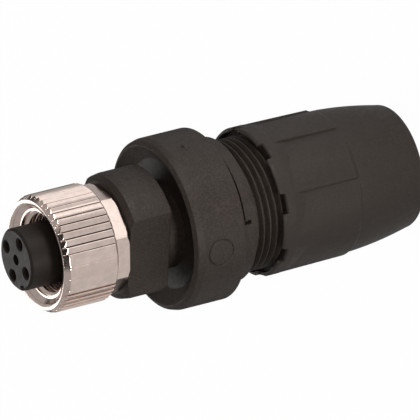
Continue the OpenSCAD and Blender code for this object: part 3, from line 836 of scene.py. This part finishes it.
@dataclass
class Housing:
    """Flange, collar with the pawl's slot, hook and tooth, and the barrel behind."""

    flange_at: float = 21.29
    flange_end: float = 29.09
    flange_r: float = 12.0
    lead_h: float = 0.8
    lead_len: float = 1.25
    recess_r: float = 11.1
    recess_floor_r: float = 9.1
    recess_floor: float = 22.79
    spigot_bore_r: float = 6.13
    chamber_at: float = 23.99
    chamber_r: float = 7.4
    collar_r: float = 10.1
    collar_end: float = 31.89
    barrel_r: float = 8.6
    barrel_end: float = 44.59
    slot_r: float = 9.2
    slot_w: float = 1.1
    slot_from: float = -107.0
    slot_to: float = -1.0
    hook_w: float = 2.84
    hook_len: float = 1.95
    tooth_from: float = -120.0
    tooth_sweep: float = 9.0
    tooth_h: float = 0.35
    pip_angle: float = -39.4
    pip_at: float = 25.19
    pip_r: float = 0.55
    pip_h: float = 0.3
    gate_angle: float = -118.8
    gate_at: float = 25.09
    gate_r: float = 1.95
    gate_w: float = 0.16
    gate_h: float = 0.14
    guide_half: float = 0.65
    guide_r: float = 7.9
    guide_at: float = 27.19

    def angles(self) -> Array:
        """Even samples, with more at the slot's ends, hook, tooth, pip, gate ring and guides."""
        gate = math.degrees(self.gate_r / self.flange_r)
        return circle_samples(
            180,
            near(self.slot_from, 0.5, 7),
            near(self.slot_from + self.hook_w, 0.5, 7),
            near(self.slot_to, 0.5, 7),
            near(self.tooth_from + self.tooth_sweep / 2, self.tooth_sweep / 2 + 0.6, 15),
            near(self.pip_angle, 4.0, 27),
            near(self.gate_angle, gate + 0.8, 81),
            *[near(turn + side, 0.4, 5) for turn in (0, 180) for side in (-5.04, 5.04)],
        )

    def slot_mask(self, angle: Array, s: Array) -> Array:
        """1 inside the pawl's slot and its hook: products of smooth steps in angle and station."""
        soft = 0.35
        along = ease(s, self.flange_end - 0.03, self.flange_end + 0.03)

        def pocket(last: float, depth: float) -> Array:
            """1 from the slot's first angle to the last, down to a depth behind the flange."""
            end = self.flange_end + depth
            return (
                ease(angle, self.slot_from - soft, self.slot_from + soft)
                * (1 - ease(angle, last - soft, last + soft))
                * along
                * (1 - ease(s, end - 0.06, end + 0.03))
            )

        hook = pocket(self.slot_from + self.hook_w, self.hook_len)
        return np.maximum(pocket(self.slot_to, self.slot_w), hook)

    def skin(self, angle: Array) -> tuple[Array, Array]:
        """Outside from the flange's front edge to the barrel's end.

        Args:
            angle: (n) angles.

        Returns:
            Radii and stations, (m, n) each.
        """
        wall = np.array([-0.1, -0.05, -0.02, 0.02, 0.06, 0.12])
        s = stations(
            self.flange_at + np.array([0, 0.015, 0.04, 0.08, 0.14]),
            np.linspace(self.flange_at + 0.22, self.flange_at + 0.55, 8),
            np.linspace(self.flange_at + 0.65, self.flange_at + 1.5, 8),
            near(self.gate_at, self.gate_r + 0.15, 61),
            near(self.pip_at, self.pip_r + 0.1, 17),
            np.linspace(27.6, self.flange_end - 0.45, 5),
            self.flange_end - np.array([0.32, 0.25, 0.18, 0.12, 0.07, 0.03, 0.0]),
            self.flange_end + np.array([0.03, 0.06, 0.12, 0.3, 0.6, 0.85]),
            self.flange_end + self.slot_w + wall,
            self.flange_end + np.array([1.4, 1.6]),
            self.flange_end + self.hook_len + wall,
            self.collar_end - np.array([0.25, 0.18, 0.12, 0.07, 0.03, 0.0]),
            self.collar_end + np.array([0.03, 0.08, 0.14, 0.2, 0.26, 0.32, 0.37, 0.42]),
            np.linspace(33.0, 43.8, 12),
            self.barrel_end - np.array([0.45, 0.4, 0.3, 0.2, 0.1, 0.0]),
        )
        a = angle[None, :]
        tooth = np.clip(1.0 - (a - self.tooth_from) / self.tooth_sweep, 0.0, 1.0)
        tooth = tooth * ease(a, self.tooth_from - 0.4, self.tooth_from)
        end = self.collar_end + self.tooth_h * tooth
        knee = 0.3
        flange = bevelled(
            s,
            [
                (self.flange_at, self.flange_r - self.lead_h),
                (self.flange_at + knee * self.lead_len, self.flange_r - knee * self.lead_h),
                (self.flange_at + self.lead_len, self.flange_r),
            ],
        )
        flange = flange - round_over(s - self.flange_at, 0.05) - round_over(self.flange_end - s, 0.22)
        collar = self.collar_r - round_over(end - s, 0.15)
        barrel = self.barrel_r - 0.9 * np.clip(s - (self.barrel_end - 0.4), 0.0, 1.0)
        mask = self.slot_mask(a, s)
        collar = collar * (1 - mask) + self.slot_r * mask
        step = ease(s, self.flange_end, self.flange_end + 0.05)
        body = flange * (1 - step) + collar * step
        step = ease(s - end, 0.0, 0.06)
        body = body * (1 - step) + barrel * step
        away = self.distance(a, s, self.pip_angle, self.pip_at)
        body = body + self.pip_h * (1 - ease(away, self.pip_r * 0.55, self.pip_r + 0.06))
        away = self.distance(a, s, self.gate_angle, self.gate_at) - (self.gate_r - self.gate_w / 2)
        body = body - self.gate_h * (1 - ease(np.abs(away), self.gate_w * 0.25, self.gate_w * 0.85))
        return body, s

    def distance(self, angle: Array, s: Array, at_angle: float, at_s: float) -> Array:
        """Distance over the flange's skin from a place: sqrt(arc^2 + (s - place)^2)."""
        arc = self.flange_r * np.radians(angle - at_angle)
        return np.sqrt(arc * arc + (s - at_s) ** 2)

    def build(self) -> bpy.types.Object:
        """Joins skin, chamber with its two guide grooves, spigot bore and front recess.

        Returns:
            The housing.
        """
        angle = self.angles()
        turn = np.radians(angle)
        groove = np.minimum(
            self.guide_r / np.maximum(np.abs(np.cos(turn)), 0.2),
            self.guide_half / np.maximum(np.abs(np.sin(turn)), 1e-3),
        )
        guide = np.maximum(groove, self.chamber_r)
        plain = np.full_like(guide, self.chamber_r)
        inner_s = np.array([self.barrel_end, 36.0, self.guide_at, self.guide_at, self.chamber_at])
        inner = np.stack([guide, guide, guide, plain, plain]), inner_s[:, None]
        front = outline(
            (self.spigot_bore_r, self.chamber_at), (self.spigot_bore_r, self.recess_floor),
            (self.recess_floor_r - 0.1, self.recess_floor),
            (self.recess_floor_r + 0.05, self.recess_floor - 0.06),
            (self.recess_r - 0.15, self.flange_at + 0.12),
            (self.recess_r - 0.02, self.flange_at + 0.02), (self.recess_r + 0.05, self.flange_at),
        )
        return wall_of_turn("housing_skin", angle, self.skin(angle), inner, front)

    def thread(self) -> bpy.types.Object:
        """Barrel's outer thread, one millimetre to the turn."""
        return Thread(
            "barrel_thread", self.barrel_r, 0.65, 1.0, self.collar_end + 0.75,
            self.barrel_end - 0.55, 33.35, Side.OUTSIDE,
        ).build()


@dataclass
class UnionNut:
    """Gland nut: notched rim, eight saw-toothed pads, crowned body and cable entry."""

    rim_at: float = 35.89
    rim_r: float = 10.25
    band_r: float = 10.425
    pad_at: float = 37.99
    pad_end: float = 48.79
    pad_h: float = 0.45
    pad_angle: float = -2.5
    pad_taper: float = 0.15
    notches: int = 8
    notch_sweep: float = 16.0
    notch_depth: float = 0.75
    notch_reach: float = 1.9
    band_run: float = 2.4
    crown_fall: float = 1.3
    crown_share: float = 0.34
    crown_ease: float = 0.12
    end_round: float = 0.9
    mouth_r: float = 9.9
    mouth_depth: float = 1.3
    mouth_run: float = 0.3
    thread_r: float = 9.33
    bore_end: float = 50.09
    cage_r: float = 8.4
    cone_at: float = 52.1
    cone_end: float = 57.3
    cone_r: float = 5.7
    entry_r: float = 4.5
    entry_flare: float = 0.5

    @property
    def low_r(self) -> float:
        """Radius under the pads."""
        return self.band_r - self.pad_h

    @property
    def step(self) -> float:
        """Angle from pad to pad."""
        return 360.0 / self.notches

    @property
    def notch_from(self) -> float:
        """Angle from a pad's step to the start of its notch."""
        return self.step - self.notch_sweep + 2.0

    def angles(self) -> Array:
        """Even samples, with more at each pad's step and at each notch's two sides."""
        pads = self.pad_angle + np.arange(self.notches)[:, None] * self.step
        fine = np.array([-1.2, -0.7, -0.45, -0.3, -0.15, 0.0, 0.15, 0.3, 0.45, 0.7, 1.2])
        side = np.array([-0.5, -0.25, -0.1, 0.1, 0.25, 0.5])
        return circle_samples(
            144,
            (pads + fine).ravel(),
            (pads + self.notch_from + side).ravel(),
            (pads + self.notch_from + self.notch_sweep + side).ravel(),
        )

    def pads(self, angle: Array) -> Array:
        """Radius of the pads: a circle off the axis on each, highest just past its step."""
        lean = self.step / 2
        wide = math.cos(math.radians(lean)) - math.cos(math.radians(lean + self.step))
        offset = self.pad_h / wide
        arc = self.band_r - offset * math.cos(math.radians(lean))
        turn = (angle - self.pad_angle) % self.step
        around = np.radians(turn + lean)
        radius = offset * np.cos(around) + np.sqrt(arc**2 - (offset * np.sin(around)) ** 2)
        low = radius.min()
        rise = ease(turn, 0.0, 0.3) + ease(turn, self.step - 0.25, self.step)
        return low + (radius - low) * np.clip(rise, 0.0, 1.0)

    def rim(self, angle: Array) -> Array:
        """How far each notch takes the rim back, with steep sides."""
        turn = (angle - self.pad_angle - self.notch_from) % self.step
        inside = ease(turn, -0.01, 0.35) * (1 - ease(turn, self.notch_sweep - 0.35, self.notch_sweep))
        return self.notch_depth * inside

    def crown(self, s: Array) -> Array:
        """Radius of the long body: low_r - fall (share x^2 (1 + e) / (x + e) + (1 - share) x^2)."""
        x = np.clip((s - self.pad_end) / (LENGTH - self.end_round - self.pad_end), 0.0, 1.0)
        start = self.crown_share * x * x * (1.0 + self.crown_ease) / (x + self.crown_ease)
        return self.low_r - self.crown_fall * (start + (1.0 - self.crown_share) * x * x)

    def skin(self, angle: Array) -> tuple[Array, Array]:
        """Outside from the rim to the cable end.

        Args:
            angle: (n) angles.

        Returns:
            Radii and stations, (m, n) each.
        """
        s = stations(
            self.rim_at + np.array([0, 0.02, 0.06, 0.12, 0.2, 0.35, 0.5, 0.8, 1.2, 1.6]),
            self.pad_at + np.linspace(-0.6, 2.8, 26),
            np.linspace(self.pad_at + 3.2, self.pad_end - 0.8, 12),
            self.pad_end + np.linspace(-0.6, 0.2, 17),
            np.linspace(self.pad_end + 0.5, LENGTH - self.end_round - 0.2, 16),
            LENGTH - self.end_round * np.sin(np.linspace(np.pi / 2, 0, 12)),
        )
        base = np.interp(
            s,
            [self.rim_at, self.rim_at + 0.35, self.pad_at, self.pad_at + self.band_run, self.pad_end],
            [self.rim_r, self.band_r, self.band_r, self.low_r, self.low_r],
        )
        slope = ease(s, self.pad_end - 0.25, self.pad_end + 0.05)
        base = base * (1.0 - slope) + self.crown(s) * slope
        limit = np.interp(
            s,
            [self.pad_at - 0.5, self.pad_end - 0.6, self.pad_end - 0.02],
            [self.band_r - 0.03, self.band_r - self.pad_taper - 0.03, self.low_r - 0.1],
        )
        pads = soft_min(self.pads(angle)[None, :] + 0 * s, limit, 0.04)
        on = (s > self.pad_at - 0.1) & (s < self.pad_end)
        blend = 0.004 + 0.025 * ease(s, self.pad_at - 0.1, self.pad_at + 1.5)
        radius = np.where(on, soft_max(base + 0 * pads, pads, blend), base)
        radius = radius - round_over(s - self.rim_at, 0.12) - round_over(LENGTH - s, self.end_round)
        return radius, self.set_back(s, angle)

    def set_back(self, s: Array, angle: Array) -> Array:
        """Stations with the notches: the rim moves back and the band behind it closes up.

        Args:
            s: (m, 1) or (m, n) stations.
            angle: (n) angles.

        Returns:
            (m, n) stations.
        """
        near_rim = np.clip(1.0 - (s - self.rim_at) / self.notch_reach, 0.0, 1.0)
        return s + self.rim(angle)[None, :] * near_rim

    def build(self) -> bpy.types.Object:
        """Joins the skin and the bores into one closed wall.

        Returns:
            The union nut.
        """
        angle = self.angles()
        flare, mouth_end = self.entry_r + self.entry_flare, self.rim_at + self.mouth_depth
        bore_r, bore_s = outline(
            (flare + 0.15, LENGTH), (flare, LENGTH - 0.03),
            (self.entry_r + 0.02, LENGTH - self.entry_flare),
            (self.entry_r, LENGTH - self.entry_flare - 0.2),
            (self.entry_r, self.cone_end), (self.cone_r, self.cone_end),
            (self.cage_r, self.cone_at), (self.cage_r, self.bore_end),
            (self.thread_r, self.bore_end), (self.thread_r, 43.0),
            (self.thread_r, mouth_end + self.mouth_run), (self.mouth_r, mouth_end),
            (self.mouth_r, self.rim_at + 0.9), (self.mouth_r, self.rim_at + 0.1),
            (self.mouth_r + 0.03, self.rim_at + 0.03), (self.mouth_r + 0.1, self.rim_at),
        )
        bore = bore_r, self.set_back(bore_s, angle)
        return wall_of_turn("union_nut_skin", angle, self.skin(angle), bore)

    def thread(self) -> bpy.types.Object:
        """Inner thread, half a pitch off the barrel's, so that the two mesh at each turn."""
        return Thread(
            "union_thread", self.thread_r, 0.58, 1.0, self.rim_at + self.mouth_depth + 0.75,
            self.bore_end - 0.6, 33.85, Side.INSIDE, crest=0.06,
        ).build()


# ---------------------------------------------------------------- stage


@dataclass
class Studio:
    """Camera, lamps, white world and floor."""

    forward: tuple[float, float, float] = (0.0, 0.8902, -0.4555)
    up: tuple[float, float, float] = (0.970, -0.1107, -0.2163)
    middle: tuple[float, float, float] = (0.00019, -0.00007, 0.02917)
    lens: float = 1008.0
    distance: float = 1.6
    diffuse: float = 0.104
    gloss: float = 0.4
    glow: float = 0.975
    floor_gloss: float = 0.6
    floor_half: float = 0.6
    sheet_reach: tuple[float, float] = (0.03, 0.42)
    sheet_lift: float = 0.0004
    warm: tuple[float, float, float] = (1.0, 0.95, 0.91)

    def camera(self) -> None:
        """Long lens along the forward vector, rolled so that up points up the frame."""
        ahead = np.array(self.forward) / np.linalg.norm(self.forward)
        right = np.cross(ahead, self.up)
        right = right / np.linalg.norm(right)
        above = np.cross(right, ahead)
        data = bpy.data.cameras.new("camera")
        data.lens, data.sensor_width = self.lens, 36.0
        data.clip_start, data.clip_end = 0.05, 10.0
        camera = bpy.data.objects.new("camera", data)
        turn = np.eye(4)
        turn[:3, 0], turn[:3, 1], turn[:3, 2] = right, above, -ahead
        turn[:3, 3] = np.array(self.middle) - ahead * self.distance
        camera.matrix_world = Matrix([list(row) for row in turn])
        bpy.context.scene.collection.objects.link(camera)
        bpy.context.scene.camera = camera

    def lamp(
        self, name: str, at: tuple[float, float, float], size: float, power: float, gloss: bool = True
    ) -> None:
        """Square lamp at a place, in metres, that faces the connector's middle.

        Args:
            name: Name of the lamp.
            at: Place relative to the middle.
            size: Side in metres.
            power: Watts.
            gloss: Whether reflections show the lamp.
        """
        data = bpy.data.lights.new(name, "AREA")
        data.size, data.energy, data.color = size, power, self.warm
        lamp = bpy.data.objects.new(name, data)
        lamp.location = Vector(self.middle) + Vector(at)
        lamp.visible_glossy = gloss
        lamp.rotation_mode = "QUATERNION"
        lamp.rotation_quaternion = (-Vector(at)).to_track_quat("-Z", "Y")
        bpy.context.scene.collection.objects.link(lamp)

    def world(self) -> None:
        """White to the camera, dimmer in reflections and dimmer still as light on the object."""
        world = bpy.data.worlds.new("studio")
        bpy.context.scene.world = world
        bench = Bench(world)
        level = bench.ray("Camera") * (1.0 - self.diffuse) + self.diffuse
        level = level + bench.ray("Glossy") * (self.gloss - self.diffuse)
        white = (1.0, 1.0, 1.0, 1.0)
        bench.show(bench.node("ShaderNodeBackground", values={"Color": white, "Strength": level}))

    def screen(self, name: str, corners: Array, level: float) -> None:
        """Plain screen that only reflections see.

        Args:
            name: Name of the screen.
            corners: Its four corners, in metres.
            level: How bright it is: 0 is black, 1 is white, and more is brighter than white.
        """
        screen = sheet_mesh(name, corners)
        bench = Bench.material(name)
        colour = bench.tint(bench.grain(0.02), (0.97,) * 3, (1.0,) * 3)
        bench.show(bench.node("ShaderNodeEmission", values={"Color": colour, "Strength": level}))
        dress(screen, bench.owner)
        screen.visible_camera = screen.visible_diffuse = screen.visible_shadow = False
        screen.visible_transmission = False

    def sector(self, name: str, low: float, high: float, level: float) -> None:
        """Screen on the floor between two angles round the connector."""
        angle = np.radians([low, high, high, low])
        reach = np.repeat(self.sheet_reach, 2)
        lift = np.full(4, self.sheet_lift)
        self.screen(name, np.stack([reach * np.cos(angle), reach * np.sin(angle), lift], axis=1), level)

    def card(self, name: str, centre: tuple, across: tuple, up: tuple, level: float) -> None:
        """Upright or leaning screen, from its centre and its two half sides, in metres."""
        sides = np.array([[-1, -1], [1, -1], [1, 1], [-1, 1]], float) @ np.array([across, up])
        self.screen(name, np.array(centre) + sides, level)

    def floor(self) -> None:
        """White floor under the cable end."""
        corners = np.array([[-1, -1, 0], [1, -1, 0], [1, 1, 0], [-1, 1, 0]], float) * self.floor_half
        floor = sheet_mesh("floor", corners)
        bench = Bench.material("floor_white")
        colour = bench.tint(bench.grain(0.02), (0.90,) * 3, (0.92,) * 3)
        matt = bench.node("ShaderNodeBsdfPrincipled", values={"Base Color": colour, "Roughness": 0.9})
        glow = bench.node("ShaderNodeEmission", values={"Strength": 1.0})
        dim = bench.node("ShaderNodeEmission", values={"Strength": self.floor_gloss})
        for share, light in ((bench.ray("Glossy"), dim), (bench.ray("Camera") * self.glow, glow)):
            matt = bench.node("ShaderNodeMixShader", values={0: share, 1: matt, 2: light})
        bench.show(matt)
        dress(floor, bench.owner)

    def build(self) -> None:
        """Sets the whole stage."""
        self.camera()
        self.world()
        self.floor()
        self.sector("low_light_sheet", -64.0, -47.0, 1.25)
        self.sector("high_light_sheet", -32.0, 16.0, 1.1)
        self.sector("grey_sheet", 24.0, 46.0, 0.42)
        self.sector("dark_sheet", 46.0, 138.0, 0.1)
        # Round the camera, for the chamfers of the ribs' front ends.
        self.card("dark_wall", (-0.13481, -0.77407, 0.53317), (0.693, 0, 0), (0, 0, 0.288), 0.0)
        # High behind the connector, for its flat front faces.
        self.card(
            "face_sheet", (0.00019, 0.53393, 0.30247), (0.15, 0, 0), (0, -0.068325, 0.1335), 2.6
        )
        # Low behind the connector, for the inner side of the nut's mouth.
        self.card(
            "back_wall", (0.190178, 0.407839, 0.0845), (-0.453154, 0.211309, 0), (0, 0, 0.0825), 0.06
        )
        self.lamp("key", (0.31, -0.35, -0.04), 0.20, 2.9)
        self.lamp("fill", (-0.21, -0.41, -0.05), 0.20, 3.5)
        self.lamp("back", (0.06, 0.32, 0.40), 0.30, 1.7, gloss=False)
        self.lamp("front", (0.0, -1.068, 0.547), 0.30, 6.0, gloss=False)
        bpy.context.scene.view_settings.view_transform = "Standard"


# ---------------------------------------------------------------- assembly


@dataclass
class Connector:
    """The whole connector: new skins and threads, and finishes for the CAD pieces kept."""

    nut: CouplingNut
    sleeve: FrontSleeve
    housing: Housing
    union: UnionNut
    materials: dict[str, bpy.types.Material] = field(default_factory=dict)

    def finishes(self) -> dict[str, bpy.types.Material]:
        """Materials by the record's slot names."""
        return {
            "nickel_plate": Nickel().make(),
            "body_plastic": Plastic(
                "body_plastic", (0.0150, 0.0112, 0.0092), (0.0275, 0.0215, 0.0182)
            ).make(),
            "insert_plastic": Plastic(
                "insert_plastic", (0.008, 0.0060, 0.0047), (0.013, 0.0098, 0.0078), 0.5, 0.2, 9.0, 0.006
            ).make(),
            "inner_plastic": Plastic("inner_plastic", (0.05, 0.052, 0.055), (0.07, 0.072, 0.075)).make(),
            "seal_rubber": Rubber().make(),
            "gilt_contact": Plate("gilt_contact", (0.83, 0.6, 0.25), (0.6, 0.4, 0.15), 0.22).make(),
            "tin_plate": Plate("tin_plate", (0.66, 0.66, 0.65), (0.45, 0.45, 0.44), 0.34).make(),
            "washer_plastic": Plastic("washer_plastic", (0.6, 0.59, 0.55), (0.7, 0.69, 0.65)).make(),
        }

    def add(
        self,
        piece: bpy.types.Object,
        body: Body,
        slot: str,
        stands_for: str | None = None,
        look: bpy.types.Material | None = None,
    ) -> None:
        """Dresses a new piece and ties it to its body.

        Args:
            piece: The new piece.
            body: Body that it rides on.
            slot: Material slot of the record.
            stands_for: CAD node that it replaces, if any.
            look: Finish of its own, where it differs from the slot's.
        """
        dress(piece, look or self.materials[slot])
        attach(piece, body.value)
        if stands_for:
            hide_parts(stands_for)
        LOG.info("%s rides on %s", piece.name, body.value)

    def build(self) -> None:
        """Makes every new piece and dresses the CAD pieces that stay."""
        self.materials.update(self.finishes())
        slots = {s["node"]: s["material_slot"] for s in frame["record"]["subparts"]}
        for name, piece in frame["nodes"].items():
            dress(piece, self.materials[slots[name]])
        smooth = Plastic(
            "smooth_plastic", (0.0185, 0.0145, 0.0124), (0.0250, 0.0200, 0.0174), grain_depth=0.008
        ).make()
        body = "body_plastic"
        self.add(self.nut.build(), Body.COUPLING, "nickel_plate", "coupling_nut")
        self.add(self.nut.thread(), Body.COUPLING, "nickel_plate")
        self.add(self.sleeve.build(), Body.HOUSING, body, "front_sleeve")
        self.add(self.housing.build(), Body.HOUSING, body, "housing")
        self.add(self.housing.thread(), Body.HOUSING, body)
        self.add(self.union.build(), Body.GLAND_NUT, body, "union_nut", smooth)
        self.add(self.union.thread(), Body.GLAND_NUT, body, look=smooth)


def main() -> None:
    """Builds the connector and its stage in order."""
    logging.basicConfig(level=logging.INFO, format="%(name)s: %(message)s")
    Connector(CouplingNut(), FrontSleeve(), Housing(), UnionNut()).build()
    Studio().build()


if __name__ == "__main__":
    main()
